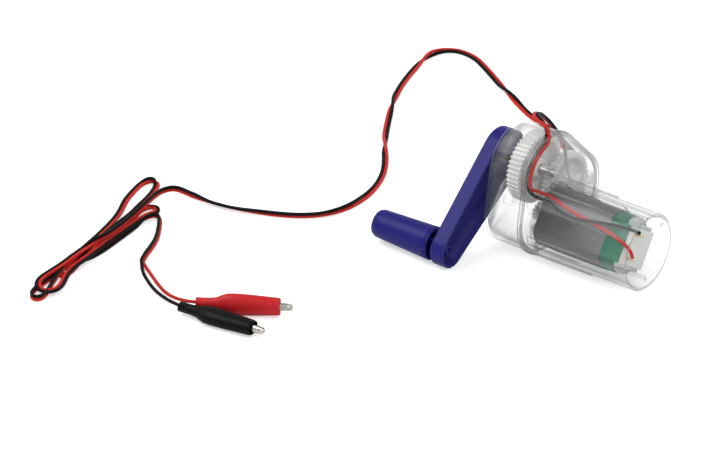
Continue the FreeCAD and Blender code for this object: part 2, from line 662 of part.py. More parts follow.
def motor_can():
    body = new_body("motor_can", turn=num("motor_turn"))
    shell = sketch_in(body, "YZ_Plane")
    draw_flatted(shell, num("can_radius"), num("can_flat"))
    pad(body, shell, "can_length")
    inside = sketch_in(body, "YZ_Plane", "can_wall")
    draw_flatted(inside, num("can_radius - can_wall"), num("can_flat - can_wall"))
    cut(body, inside, "can_length")
    boss = sketch_in(body, "YZ_Plane")
    draw_circle(boss, "motor_boss_radius")
    pad(body, boss, "motor_boss_height", backward=True)
    bore = sketch_in(body, "YZ_Plane", "0 - motor_boss_height - 1")
    draw_circle(bore, "shaft_radius + running_fit")
    cut(body, bore, "motor_boss_height + can_wall + 2")
    threads = sketch_in(body, "YZ_Plane", "0 - 1")
    draw_circle(threads, "screw_radius", "0", "screw_offset")
    draw_circle(threads, "screw_radius", "0", "0 - screw_offset")
    cut(body, threads, "can_wall + 2")
    return body


def motor_end_bell():
    """Green moulded end with stepped corners and a bearing pocket for the shaft."""
    body = new_body("motor_end_bell", turn=num("motor_turn"))
    block = sketch_in(body, "YZ_Plane", "can_length")
    draw_flatted(block, num("can_radius - 0.3"), num("can_flat"))
    pad(body, block, "bell_length - 2 * bell_step")
    for step in (1, 2):
        shrink = "%d * bell_step" % step
        layer = sketch_in(body, "YZ_Plane", "can_length + bell_length - 2 * bell_step")
        draw_box(layer, "0 - can_flat", "can_flat",
                 "0 - (can_radius - bell_corner - %s)" % shrink, "can_radius - bell_corner - %s" % shrink)
        pad(body, layer, "%d * bell_step" % step)
    hollow = sketch_in(body, "YZ_Plane", "can_length")
    draw_circle(hollow, "bell_pocket_radius")
    cut(body, hollow, "bell_length / 2")
    bearing = sketch_in(body, "YZ_Plane", "can_length")
    draw_circle(bearing, "shaft_radius + running_fit")
    cut(body, bearing, "bell_length - bell_step")
    return body


def motor_magnets():
    """Two arc magnets on the round sides of the can."""
    body = new_body("motor_magnets", turn=num("motor_turn"))
    arcs = sketch_in(body, "YZ_Plane", "can_wall + magnet_setback")
    outer = num("can_radius - can_wall")
    inner = outer - num("magnet_thick")
    for middle in (math.pi / 2, 3 * math.pi / 2):
        low = middle - math.radians(num("magnet_arc / 2"))
        high = middle + math.radians(num("magnet_arc / 2"))
        centre = Vector(0, 0, 0)
        up = Vector(0, 0, 1)
        arcs.addGeometry(Part.ArcOfCircle(Part.Circle(centre, up, outer), low, high), False)
        arcs.addGeometry(Part.ArcOfCircle(Part.Circle(centre, up, inner), low, high), False)
        for angle in (low, high):
            ray = Vector(math.cos(angle), math.sin(angle), 0)
            arcs.addGeometry(Part.LineSegment(ray * inner, ray * outer), False)
    pad(body, arcs, "can_length - can_wall - 2 * magnet_setback")
    return body


def motor_armature():
    """Three-pole armature: a core with three winding slots."""
    body = new_body("motor_armature")
    core = sketch_in(body, "YZ_Plane", "can_wall + armature_setback")
    radius = num("armature_radius")
    slot = 0.22
    waist = radius * 0.55
    for pole in range(3):
        start = 2 * math.pi * pole / 3 + slot
        end = 2 * math.pi * (pole + 1) / 3 - slot
        middle_gap = 2 * math.pi * (pole + 1) / 3
        core.addGeometry(Part.ArcOfCircle(Part.Circle(Vector(0, 0, 0), Vector(0, 0, 1), radius),
                                          start, end), False)
        inward = Vector(math.cos(middle_gap), math.sin(middle_gap), 0) * waist
        leave = Vector(math.cos(end), math.sin(end), 0) * radius
        arrive_angle = middle_gap + slot
        arrive = Vector(math.cos(arrive_angle), math.sin(arrive_angle), 0) * radius
        core.addGeometry(Part.LineSegment(leave, inward), False)
        core.addGeometry(Part.LineSegment(inward, arrive), False)
    draw_circle(core, "shaft_radius")
    pad(body, core, "can_length - can_wall - 2 * armature_setback")
    return body


def motor_brushes():
    """Two carbon brushes beside the commutator."""
    body = new_body("motor_brushes", turn=num("motor_turn"))
    blocks = sketch_in(body, "YZ_Plane", "can_length + 0.5")
    for sign in ("", "0 - "):
        draw_box(blocks, "0 - brush_width / 2", "brush_width / 2", sign + "(shaft_radius + 2.1)",
                 sign + "(bell_pocket_radius - brush_gap)")
    pad(body, blocks, "2.4")
    return body


def motor_terminals():
    """Two solder tabs on the end bell, one for each wire."""
    body = new_body("motor_terminals", turn=num("motor_turn"))
    tabs = sketch_in(body, "YZ_Plane", "can_length + bell_length")
    for sign in ("", "0 - "):
        draw_box(tabs, "tab_out - tab_width / 2", "tab_out + tab_width / 2",
                 sign + "(tab_aside - tab_thick / 2)", sign + "(tab_aside + tab_thick / 2)")
    pad(body, tabs, "tab_length")
    return body


def motor_screws():
    """Two screws through the back wall into the front plate of the can, in one node."""
    body = new_body("motor_screws", turn=num("motor_turn"))
    heads = sketch_in(body, "YZ_Plane", "0 - wall - 1.2")
    shanks = sketch_in(body, "YZ_Plane", "0 - wall")
    for sign in ("", "0 - "):
        draw_circle(heads, "screw_head_radius", "0", sign + "screw_offset")
        draw_circle(shanks, "screw_radius", "0", sign + "screw_offset")
    pad(body, heads, "1.2")
    pad(body, shanks, "wall + can_wall")
    return body


# ---------------------------------------------------------------- wires, lead and hank
def tube_path(points):
    """Straight runs joined by tangent arcs that are as large as both runs allow."""
    edges = []
    radii = []
    here = points[0]
    for index in range(1, len(points) - 1):
        corner = points[index]
        back = points[index - 1] - corner
        ahead = points[index + 1] - corner
        turn = math.pi - back.getAngle(ahead)
        shorter = min(back.Length, ahead.Length)
        reach = 0.45 * shorter
        radii.append(reach / math.tan(turn / 2))
        start = corner + Vector(back).normalize() * reach
        end = corner + Vector(ahead).normalize() * reach
        middle_way = (Vector(back).normalize() + Vector(ahead).normalize()).normalize()
        depth = radii[-1] / math.cos(turn / 2) - radii[-1]
        edges.append(Part.LineSegment(here, start).toShape())
        edges.append(Part.Arc(start, corner + middle_way * depth, end).toShape())
        here = end
    edges.append(Part.LineSegment(here, points[-1]).toShape())
    return Part.Wire(edges), radii


def tube_piece(label, points, radius):
    """A round cord along its route; prints its radii and tests its volume."""
    spots = [Vector(*point) for point in points]
    path, radii = tube_path(spots)
    ahead = spots[1] - spots[0]
    section = Part.Wire([Part.Circle(spots[0], ahead, radius).toShape()])
    solid = path.makePipeShell([section], True, False)
    expected = math.pi * radius ** 2 * path.Length
    if abs(solid.Volume / expected - 1) > 0.01:
        raise RuntimeError("%s: volume %.1f, expected %.1f" % (label, solid.Volume, expected))
    print("%s: length %.1f, radii %s" % (label, path.Length, [round(r, 1) for r in radii]))
    piece = DOC.addObject("Part::Feature", label)
    piece.Label = label
    piece.Shape = solid
    PIECES.append(piece)
    return piece


def inner_route(case_x, hole, beside_motor):
    """From the exit notch down the near wall, through the back wall and along the motor's flat side."""
    exit_top = num("crank_z + crank_lobe_radius") + 0.5
    places = [(EXIT_Y, exit_top), (EXIT_Y - 1.0, exit_top - 3.6), (-3.2, 31.6), (-8.0, 28.0),
              (-11.3, 22.5), (-10.9, 16.6)]
    route = [Vector(case_x, across, upward) for across, upward in places]
    route.append(Vector(case_x, hole.y, hole.z))
    motor_length = num("can_length + bell_length")
    flat = num("can_flat")
    for share, past_end, out, side in beside_motor:
        route.append(motor_side(flat + out, side) + Vector(share * motor_length + past_end, 0, 0))
    return [tuple(FRAME + spot) for spot in route]


# share of the motor's length, distance past that, out from the motor's flat side, and along that side
RED_BESIDE_MOTOR = [(0.10, 0.0, 2.0, 7.9), (0.27, 0.0, 2.2, 6.0), (0.45, 0.0, 1.6, 4.4),
                    (0.73, 0.0, 1.6, 3.0), (1.0, -2.0, 1.6, 1.0), (1.0, 3.2, -0.4, -1.6),
                    (1.0, 3.0, -4.6, -4.2)]
BLACK_BESIDE_MOTOR = [(0.10, 0.0, 2.2, 5.6), (0.25, 0.0, 3.2, 3.2), (0.45, 0.0, 3.6, 2.6),
                      (0.68, 0.0, 2.6, 4.6), (0.89, 0.0, 1.8, 6.2), (1.0, 1.2, 0.4, 6.6),
                      (1.0, 3.0, -3.4, 6.4)]

# the lead after it leaves the notch: over the far wall and down behind the case, clear of the
# crank's sweep, then along the table and into the hank
LEAD_ROUTE = [
    (3.5, 4.9, 53.9), (3.5, 4.9, 56.3), (2.2, 6.2, 58.7), (-1.2, 9.6, 60.3), (-5.2, 14.8, 60.0),
    (-8.6, 21.2, 56.6), (-10.8, 27.8, 50.4), (-12.0, 33.8, 42.4), (-12.2, 39.0, 33.6),
    (-12.0, 43.6, 24.6), (-12.0, 47.8, 15.8), (-12.6, 52.4, 8.2), (-15.2, 58.2, 3.2),
    (-20.6, 65.0, 1.6), (-29.6, 71.8, 1.6), (-40.4, 78.0, 1.6), (-52.4, 84.0, 1.6),
    (-64.4, 88.6, 1.6), (-76.0, 94.2, 1.6), (-87.4, 100.0, 1.6), (-98.8, 106.7, 1.6),
    (-112.5, 115.8, 1.6),
    (-122.6, 119.2, 1.6), (-131.4, 115.8, 1.6), (-134.9, 107.6, 1.6), (-134.6, 97.0, 1.6),
    (-130.6, 84.8, 1.6), (-124.4, 70.0, 1.6), (-117.0, 55.4, 1.6), (-108.3, 41.2, 1.6),
    (-99.4, 28.0, 1.6), (-90.8, 14.6, 1.6), (-84.2, 1.4, 1.6), (-80.4, -11.6, 1.6),
    (-80.6, -23.8, 1.6), (-85.2, -34.0, 1.6), (-92.4, -40.8, 1.6), (-101.4, -45.6, 1.6),
    (-111.5, -50.0, 1.6), (-122.0, -53.2, 1.6), (-132.2, -54.7, 1.6), (-141.0, -55.4, 1.6),
    (-147.6, -58.6, 1.6), (-151.0, -64.6, 1.6), (-151.3, -71.0, 1.6)]
TAIL_ROUTE = [(-142.6, -78.8, 1.6), (-138.0, -80.8, 1.6), (-132.6, -85.6, 1.6), (-128.4, -92.2, 1.6),
              (-125.4, -99.6, 1.6), (-122.8, -107.4, 1.6)]
BLACK_ROUTE = [(-123.5, -108.0, 0.95), (-120.6, -114.2, 0.9), (-111.6, -120.4, 0.9),
               (-103.2, -125.4, 1.1), (-95.4, -129.6, 2.5), (-88.2, -133.1, 3.6), (-81.7, -132.3, 3.6)]
RED_ROUTE = [(-122.0, -107.6, 0.95), (-117.4, -112.4, 0.9), (-109.3, -117.0, 0.9),
             (-100.8, -122.2, 1.0), (-92.4, -127.0, 2.8), (-83.2, -129.7, 4.85), (-77.7, -126.3, 4.85)]

# outer shape of the folded hank, in the plan
HANK_OUTLINE = [
    (-166.2, -56.0), (-163.0, -52.2), (-156.4, -56.0), (-152.4, -64.8), (-148.8, -70.2),
    (-143.0, -71.8), (-142.4, -88.0), (-141.2, -110.0), (-140.0, -130.0), (-134.0, -143.0),
    (-133.6, -153.0), (-135.6, -161.0), (-140.0, -162.4), (-146.2, -156.0), (-148.4, -140.0),
    (-149.4, -122.0), (-152.0, -104.0), (-156.0, -89.0), (-162.0, -74.0), (-165.4, -64.0)]


def lead_hank():
    """The folded hank as one closed solid of its outer shape."""
    piece = DOC.addObject("Part::Feature", "lead_hank")
    piece.Label = "lead_hank"
    closed = HANK_OUTLINE + HANK_OUTLINE[:1]
    wire = Part.makePolygon([Vector(across, upward, 0.1) for across, upward in closed])
    piece.Shape = Part.Face(wire).extrude(Vector(0, 0, num("hank_height")))
    PIECES.append(piece)
    return piece


# ---------------------------------------------------------------- clips
def clip_frame(rear, angle, height, edgewise):
    """Placement of a clip that lies on the floor: rear end, heading, and flat or on its edge."""
    heading = Rotation(Vector(0, 0, 1), angle)
    roll = Rotation(Vector(1, 0, 0), 0 if edgewise else 90)
    return Placement(Vector(rear[0], rear[1], height), heading.multiply(roll))


def placed(body, place):
    body.Placement = place
    return body


def ellipse_section(body, x, wide, thin):
    """An elliptical section square to the clip; its wide axis is the jaws' opening direction."""
    sketch = sketch_in(body, "YZ_Plane", x)
    half_wide = num(wide)
    half_thin = num(thin)
    if abs(half_wide - half_thin) < 1e-6:
        sketch.addGeometry(Part.Circle(Vector(0, 0, 0), Vector(0, 0, 1), half_wide), False)
    else:
        sketch.addGeometry(Part.Ellipse(Vector(0, half_wide, 0), Vector(half_thin, 0, 0),
                                        Vector(0, 0, 0)), False)
    return sketch


def clip_sleeve(label, place):
    """Soft sleeve: round neck, swelling to an oval barrel that narrows to its open mouth."""
    body = placed(new_body(label), place)
    stations = [("0", "neck_radius", "neck_radius"),
                ("neck_length * 0.7", "neck_radius + 0.02", "neck_radius"),
                ("neck_length + 0.6", "neck_radius + 0.5", "neck_radius + 0.3"),
                ("neck_length + 2.8", "sleeve_wide - 1", "sleeve_thin - 0.6"),
                ("neck_length + 5", "sleeve_wide - 0.2", "sleeve_thin - 0.15"),
                ("neck_length + 8", "sleeve_wide", "sleeve_thin"),
                ("neck_length + 14", "sleeve_wide - 0.1", "sleeve_thin - 0.1"),
                ("sleeve_length - 1", "mouth_wide", "mouth_thin"),
                ("sleeve_length", "mouth_wide - lip_round", "mouth_thin - lip_round")]
    inner_stations = stations[3:-1] + [("sleeve_length", "mouth_wide", "mouth_thin")]
    sections = [ellipse_section(body, x, wide, thin) for x, wide, thin in stations]
    outside = body.newObject("PartDesign::AdditiveLoft", label + "_outside")
    outside.Profile = sections[0]
    outside.Sections = sections[1:]
    outside.Ruled = True
    DOC.recompute()
    hollow = [ellipse_section(body, x, wide + " - sleeve_wall", thin + " - sleeve_wall")
              for x, wide, thin in inner_stations]
    inside = body.newObject("PartDesign::SubtractiveLoft", label + "_inside")
    inside.Profile = hollow[0]
    inside.Sections = hollow[1:]
    inside.Ruled = True
    DOC.recompute()
    bore = sketch_in(body, "YZ_Plane", "0 - 1")
    draw_circle(bore, "wire_radius + 0.1")
    cut(body, bore, "neck_length + 4.4")
    return body


def clip_jaw(label, place, sign):
    """One jaw: a tapered half tube, cut back behind the pivot, with two lugs round the hinge pin."""
    body = placed(new_body(label), place)
    section = sketch_in(body, "XY_Plane")
    draw_polygon(section, [("jaw_start", "jaw_root_radius - jaw_sheet"), ("jaw_start", "jaw_root_radius"),
                           ("clip_length - 0.6", "jaw_tip_radius"), ("clip_length", "jaw_tip_radius - 0.5"),
                           ("clip_length", "0.3"), ("clip_length - 0.6", "0.3"),
                           ("clip_length - 1.4", "jaw_tip_radius - jaw_sheet")])
    turn_round(body, section)
    side = "" if sign > 0 else "0 - "
    gap = side + "jaw_gap"
    rise = side + "lug_rise"
    away = side + "(0 - jaw_root_radius - 1)"
    half = sketch_in(body, "XZ_Plane", "0 - jaw_root_radius - 1")
    draw_polygon(half, [("jaw_start - 1", away), ("clip_length + 1", away), ("clip_length + 1", gap),
                        ("pivot_x + lug_radius + 0.2", gap), ("pivot_x + lug_radius + 0.2", rise),
                        ("jaw_start - 1", rise)])
    cut(body, half, "2 * jaw_root_radius + 2")
    inner = LOWER_LUG if sign < 0 else UPPER_LUG
    for start in ("0 - (%s) - lug_thick" % inner, inner):
        lug = sketch_in(body, "XZ_Plane", start)
        draw_circle(lug, "lug_radius", "pivot_x")
        pad(body, lug, "lug_thick")
        neck = sketch_in(body, "XZ_Plane", start)
        low, high = sorted((side + "0.6", rise + (" + 0.25" if sign > 0 else " - 0.25")), key=num)
        draw_box(neck, "pivot_x - 0.9", "pivot_x + 0.9", low, high)
        pad(body, neck, "lug_thick")
    hole = sketch_in(body, "XZ_Plane", "0 - jaw_root_radius")
    draw_circle(hole, "pivot_radius" + (" + running_fit" if sign > 0 else ""), "pivot_x")
    cut(body, hole, "2 * jaw_root_radius")
    return body


LOWER_LUG = "1.2"
UPPER_LUG = "1.2 + lug_thick + 0.06"


def clip_pin(label, place):
    """Hinge pin of the two jaws, across the clip."""
    piece = DOC.addObject("Part::Cylinder", label)
    piece.Label = label
    piece.setExpression("Radius", bind("pivot_radius"))
    piece.setExpression("Height", bind("2 * (%s + lug_thick + 0.1)" % UPPER_LUG))
    half = num("%s + lug_thick + 0.1" % UPPER_LUG)
    across = Placement(Vector(num("pivot_x"), half, 0), Rotation(Vector(1, 0, 0), 90))
    piece.Placement = place.multiply(across)
    PIECES.append(piece)
    return piece


def clip_spring(label, place):
    """Closed coils of the jaw spring, round the hinge pin."""
    piece = DOC.addObject("Part::Feature", label)
    piece.Label = label
    width = 2 * num(LOWER_LUG) - 0.2
    coil = Part.makeCylinder(num("lug_radius"), width)
    piece.Shape = coil.cut(Part.makeCylinder(num("pivot_radius") + 0.06, width))
    across = Placement(Vector(num("pivot_x"), width / 2, 0), Rotation(Vector(1, 0, 0), 90))
    piece.Placement = place.multiply(across)
    PIECES.append(piece)
    return piece


def clip(colour, rear, angle, edgewise):
    height = num("sleeve_wide") if edgewise else num("sleeve_thin")
    place = clip_frame(rear, angle, height, edgewise)
    clip_sleeve(colour + "_clip_sleeve", place)
    clip_jaw(colour + "_clip_upper_jaw", place, 1)
    clip_jaw(colour + "_clip_lower_jaw", place, -1)
    clip_pin(colour + "_clip_pin", place)
    clip_spring(colour + "_clip_spring", place)


# ---------------------------------------------------------------- assembly
gear_cover()
motor_housing()
crank_arm()
crank_axle()
pan_screw("crank_screw", crank_axis, "(%s) - 0.5" % ARM_OUT, "screw_radius", "screw_head_radius + 0.8",
          "1.6", "6", crank_angle)
turned("crank_washer", [(ARM_OUT, "screw_radius + 0.2"), (ARM_OUT, "hub_boss_radius - 0.4"),
                        ("(%s) - 0.5" % ARM_OUT, "hub_boss_radius - 0.4"),
                        ("(%s) - 0.5" % ARM_OUT, "screw_radius + 0.2")], crank_axis)
crank_knob()
knob_spindle()
pan_screw("knob_screw", knob_axis, "(%s) + knob_recess - 0.1" % KNOB_OUT, "screw_radius",
          "spindle_radius + 0.7", "1.4", "7", crank_angle)
drive_gear()
retainer_near = "(%s) + 0.5" % DRIVE_BACK
retainer_far = "(%s) + 1.1" % DRIVE_BACK
turned("axle_retainer", [(retainer_near, "axle_radius"), (retainer_near, "boss_radius"),
                         (retainer_far, "boss_radius"), (retainer_far, "axle_radius")], crank_axis)
idler_gear()
turned("idler_axle", [("(%s) - 3" % DRIVE_FRONT, "0"), ("(%s) - 3" % DRIVE_FRONT, "idler_pin_radius"),
                      ("0 - wall / 2", "idler_pin_radius"), ("0 - wall / 2", "0")], idler_axis)
motor_pinion()
motor_can()
motor_magnets()
motor_armature()
turned("motor_shaft", [("(%s) - 0.6" % IDLER_FRONT, "0"), ("(%s) - 0.6" % IDLER_FRONT, "shaft_radius"),
                       ("can_length + bell_length - bell_step - 0.3", "shaft_radius"),
                       ("can_length + bell_length - bell_step - 0.3", "0")])
turned("motor_commutator", [("can_length - 3.2", "shaft_radius"), ("can_length - 3.2", "shaft_radius + 2"),
                            ("can_length + 3.6", "shaft_radius + 2"), ("can_length + 3.6", "shaft_radius")])
motor_end_bell()
motor_brushes()
motor_terminals()
motor_screws()
exit_x = num(EXIT_X)
red_route = inner_route(exit_x + 0.8, RED_HOLE, RED_BESIDE_MOTOR)
black_route = inner_route(exit_x - 0.8, BLACK_HOLE, BLACK_BESIDE_MOTOR)
tube_piece("inner_wire_red", red_route, num("wire_radius"))
tube_piece("inner_wire_black", black_route, num("wire_radius"))
tube_piece("lead_cable", LEAD_ROUTE, num("lead_radius"))
lead_hank()
tube_piece("lead_tail", TAIL_ROUTE, num("lead_radius"))
tube_piece("tail_black", BLACK_ROUTE, num("wire_radius"))
tube_piece("tail_red", RED_ROUTE, num("wire_radius"))
clip("black", (-84.2, -132.6), 7.5, False)
clip("red", (-79.8, -127.6), 31.5, True)

DOC.recompute()
for piece in DOC.Objects:
    if "Invalid" in piece.State or "Error" in piece.State:
        raise RuntimeError("%s is in state %s" % (piece.Label, piece.State))
os.makedirs("parts", exist_ok=True)
for piece in PIECES:
    if piece.Shape.isNull() or not piece.Shape.isValid():
        raise RuntimeError("%s has no valid shape" % piece.Label)
    piece.Shape.exportStep("parts/%s.step" % piece.Label)
print("%d nodes, frame %s" % (len(PIECES), FRAME))
for name, axis in (("crank", crank_axis), ("idler", idler_axis), ("knob", knob_axis)):
    print("%s axis %s" % (name, FRAME + axis))
print("crank turn %.2f" % crank_angle)
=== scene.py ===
import math
import bpy
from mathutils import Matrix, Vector


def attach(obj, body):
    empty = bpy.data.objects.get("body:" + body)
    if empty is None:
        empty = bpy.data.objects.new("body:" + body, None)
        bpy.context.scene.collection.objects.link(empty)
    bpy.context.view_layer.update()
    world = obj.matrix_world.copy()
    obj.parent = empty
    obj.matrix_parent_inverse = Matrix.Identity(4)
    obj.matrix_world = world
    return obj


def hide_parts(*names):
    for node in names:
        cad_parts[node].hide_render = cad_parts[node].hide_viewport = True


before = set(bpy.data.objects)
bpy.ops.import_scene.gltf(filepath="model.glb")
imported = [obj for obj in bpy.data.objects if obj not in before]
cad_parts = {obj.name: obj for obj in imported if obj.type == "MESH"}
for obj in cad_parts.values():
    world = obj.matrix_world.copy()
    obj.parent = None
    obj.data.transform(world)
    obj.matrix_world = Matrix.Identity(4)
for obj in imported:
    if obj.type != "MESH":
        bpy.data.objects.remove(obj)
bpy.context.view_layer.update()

# ------------------------------------------------------------------ camera, floor and light
# A long lens looks down at 30 degrees on a white table.  The aim is set from the motor axis at
# the back wall of the case, which stands to the right of the middle of the view.
motor_axis_at_back_wall = Vector((0.0073, 0.00252, 0.0173))
view_turn = math.radians(37.5)
view_height = math.radians(30)
view_distance = 3.0
view_width = 0.3025
back_wall_right_of_centre = 0.08025
back_wall_above_centre = 0.00924
picture_right = Vector((math.cos(view_turn), math.sin(view_turn), 0))
toward_camera = Vector((math.cos(view_height) * math.sin(view_turn),
                        -math.cos(view_height) * math.cos(view_turn), math.sin(view_height)))
picture_up = toward_camera.cross(picture_right)
aim = (motor_axis_at_back_wall - picture_right * back_wall_right_of_centre
       - picture_up * back_wall_above_centre)

sensor_width = 36
lens_data = bpy.data.cameras.new("long_lens")
lens_data.sensor_width = sensor_width
lens_data.lens = sensor_width * view_distance / view_width
lens_data.clip_start = 0.1
lens_data.clip_end = 20
camera = bpy.data.objects.new("camera", lens_data)
bpy.context.scene.collection.objects.link(camera)
camera.location = aim + toward_camera * view_distance
camera.rotation_euler = (math.pi / 2 - view_height, 0, view_turn)
bpy.context.scene.camera = camera

# the matt white table glows a little toward the camera, so that only soft shadows show on it
table_white = bpy.data.materials.new("table_white")
table_white.use_nodes = True
table_nodes = table_white.node_tree.nodes
table_links = table_white.node_tree.links
table_shader = table_nodes["Principled BSDF"]
table_shader.inputs["Base Color"].default_value = (0.86, 0.86, 0.86, 1)
table_shader.inputs["Roughness"].default_value = 0.8
table_glow = table_nodes.new("ShaderNodeEmission")
table_glow.inputs["Color"].default_value = (1, 1, 1, 1)
table_seen = table_nodes.new("ShaderNodeLightPath")
table_either = table_nodes.new("ShaderNodeMath")
table_either.operation = "MAXIMUM"
table_links.new(table_seen.outputs["Is Camera Ray"], table_either.inputs[0])
table_links.new(table_seen.outputs["Is Transmission Ray"], table_either.inputs[1])
table_half = table_nodes.new("ShaderNodeMath")
table_half.operation = "MULTIPLY"
table_half.inputs[1].default_value = 0.5
table_links.new(table_either.outputs[0], table_half.inputs[0])
table_links.new(table_half.outputs[0], table_glow.inputs["Strength"])
table_sum = table_nodes.new("ShaderNodeAddShader")
table_links.new(table_shader.outputs[0], table_sum.inputs[0])
table_links.new(table_glow.outputs[0], table_sum.inputs[1])
table_links.new(table_sum.outputs[0], table_nodes["Material Output"].inputs["Surface"])

bpy.ops.mesh.primitive_plane_add(size=8, location=(0, 0, 0))
table_top = bpy.context.object
table_top.name = "table_top"
table_top.data.materials.append(table_white)

# the studio is plain white to the camera and half as bright for everything that it lights
sky = bpy.data.worlds.new("white_studio")
bpy.context.scene.world = sky
sky.use_nodes = True
sky_nodes = sky.node_tree.nodes
sky_links = sky.node_tree.links
sky_background = sky_nodes["Background"]
sky_background.inputs["Color"].default_value = (1, 1, 1, 1)
sky_background.inputs["Strength"].default_value = 0.5
sky_seen = sky_nodes.new("ShaderNodeBackground")
sky_seen.inputs["Color"].default_value = (1, 1, 1, 1)
sky_seen.inputs["Strength"].default_value = 1.0
sky_path = sky_nodes.new("ShaderNodeLightPath")
sky_either = sky_nodes.new("ShaderNodeMath")
sky_either.operation = "MAXIMUM"
sky_links.new(sky_path.outputs["Is Camera Ray"], sky_either.inputs[0])
sky_links.new(sky_path.outputs["Is Transmission Ray"], sky_either.inputs[1])
sky_mix = sky_nodes.new("ShaderNodeMixShader")
sky_links.new(sky_either.outputs[0], sky_mix.inputs[0])
sky_links.new(sky_background.outputs[0], sky_mix.inputs[1])
sky_links.new(sky_seen.outputs[0], sky_mix.inputs[2])
sky_links.new(sky_mix.outputs[0], sky_nodes["World Output"].inputs["Surface"])


def softbox(name, place, aim_point, size, power):
    """One square studio lamp that faces a point."""
    lamp_data = bpy.data.lights.new(name, "AREA")
    lamp_data.size = size
    lamp_data.energy = power
    lamp = bpy.data.objects.new(name, lamp_data)
    bpy.context.scene.collection.objects.link(lamp)
    lamp.location = place
    lamp.rotation_euler = (Vector(aim_point) - Vector(place)).to_track_quat("-Z", "Y").to_euler()


softbox("lamp_above_left", (-0.7, -0.5, 1.1), (-0.05, 0, 0.02), 0.9, 9.0)
softbox("lamp_above_right", (0.8, -0.5, 0.9), (0.0, 0, 0.02), 0.7, 4.5)
softbox("lamp_behind", (0.1, 1.1, 0.9), (-0.05, 0, 0.02), 0.9, 4.0)

# ------------------------------------------------------------------ twin lead
# Two soft vinyl-covered wires, red and black, joined side by side into a flat lead 3 mm wide.
# It leaves the notch on top of the case, goes over the far wall to the table behind the case, lies
# along it in a long curve and is folded back and forth into a hank before its two wires part.
wire_diameter = 0.0015
points_per_handle = 8
lead_route = [
    (0.0035, 0.0049, 0.0539), (0.0031, 0.0051, 0.0559), (0.0006, 0.0062, 0.0573),
    (-0.0034, 0.0082, 0.0571), (-0.0074, 0.0108, 0.0568), (-0.0100, 0.0146, 0.0557),
    (-0.0112, 0.0196, 0.0527), (-0.0116, 0.0254, 0.0470), (-0.0119, 0.0312, 0.0398),
    (-0.0121, 0.0368, 0.0318), (-0.0120, 0.0436, 0.0246), (-0.0120, 0.0478, 0.0158),
    (-0.0126, 0.0524, 0.0078), (-0.0152, 0.0582, 0.0026), (-0.0206, 0.0650, 0.0009),
    (-0.0296, 0.0718, 0.0009), (-0.0404, 0.0780, 0.0009), (-0.0556, 0.0868, 0.0009),
    (-0.0616, 0.0891, 0.0009), (-0.0671, 0.0907, 0.0009), (-0.0729, 0.0933, 0.0009),
    (-0.0796, 0.0970, 0.0009), (-0.0875, 0.1007, 0.0009), (-0.0995, 0.1081, 0.0009),
    (-0.1109, 0.1148, 0.0009), (-0.1188, 0.1188, 0.0009), (-0.1265, 0.1199, 0.0009),
    (-0.1322, 0.1179, 0.0009), (-0.1355, 0.1131, 0.0009), (-0.1361, 0.1048, 0.0009),
    (-0.1342, 0.0946, 0.0009), (-0.1312, 0.0837, 0.0009), (-0.1273, 0.0729, 0.0009),
    (-0.1211, 0.0606, 0.0009), (-0.1140, 0.0486, 0.0009), (-0.1077, 0.0385, 0.0009),
    (-0.1008, 0.0290, 0.0009), (-0.0939, 0.0207, 0.0009), (-0.0877, 0.0109, 0.0009),
    (-0.0837, 0.0007, 0.0009), (-0.0815, -0.0101, 0.0009), (-0.0816, -0.0226, 0.0009),
    (-0.0861, -0.0329, 0.0009), (-0.0932, -0.0398, 0.0009), (-0.1020, -0.0449, 0.0009),
    (-0.1122, -0.0492, 0.0010), (-0.1224, -0.0527, 0.0012), (-0.1327, -0.0541, 0.0012)]
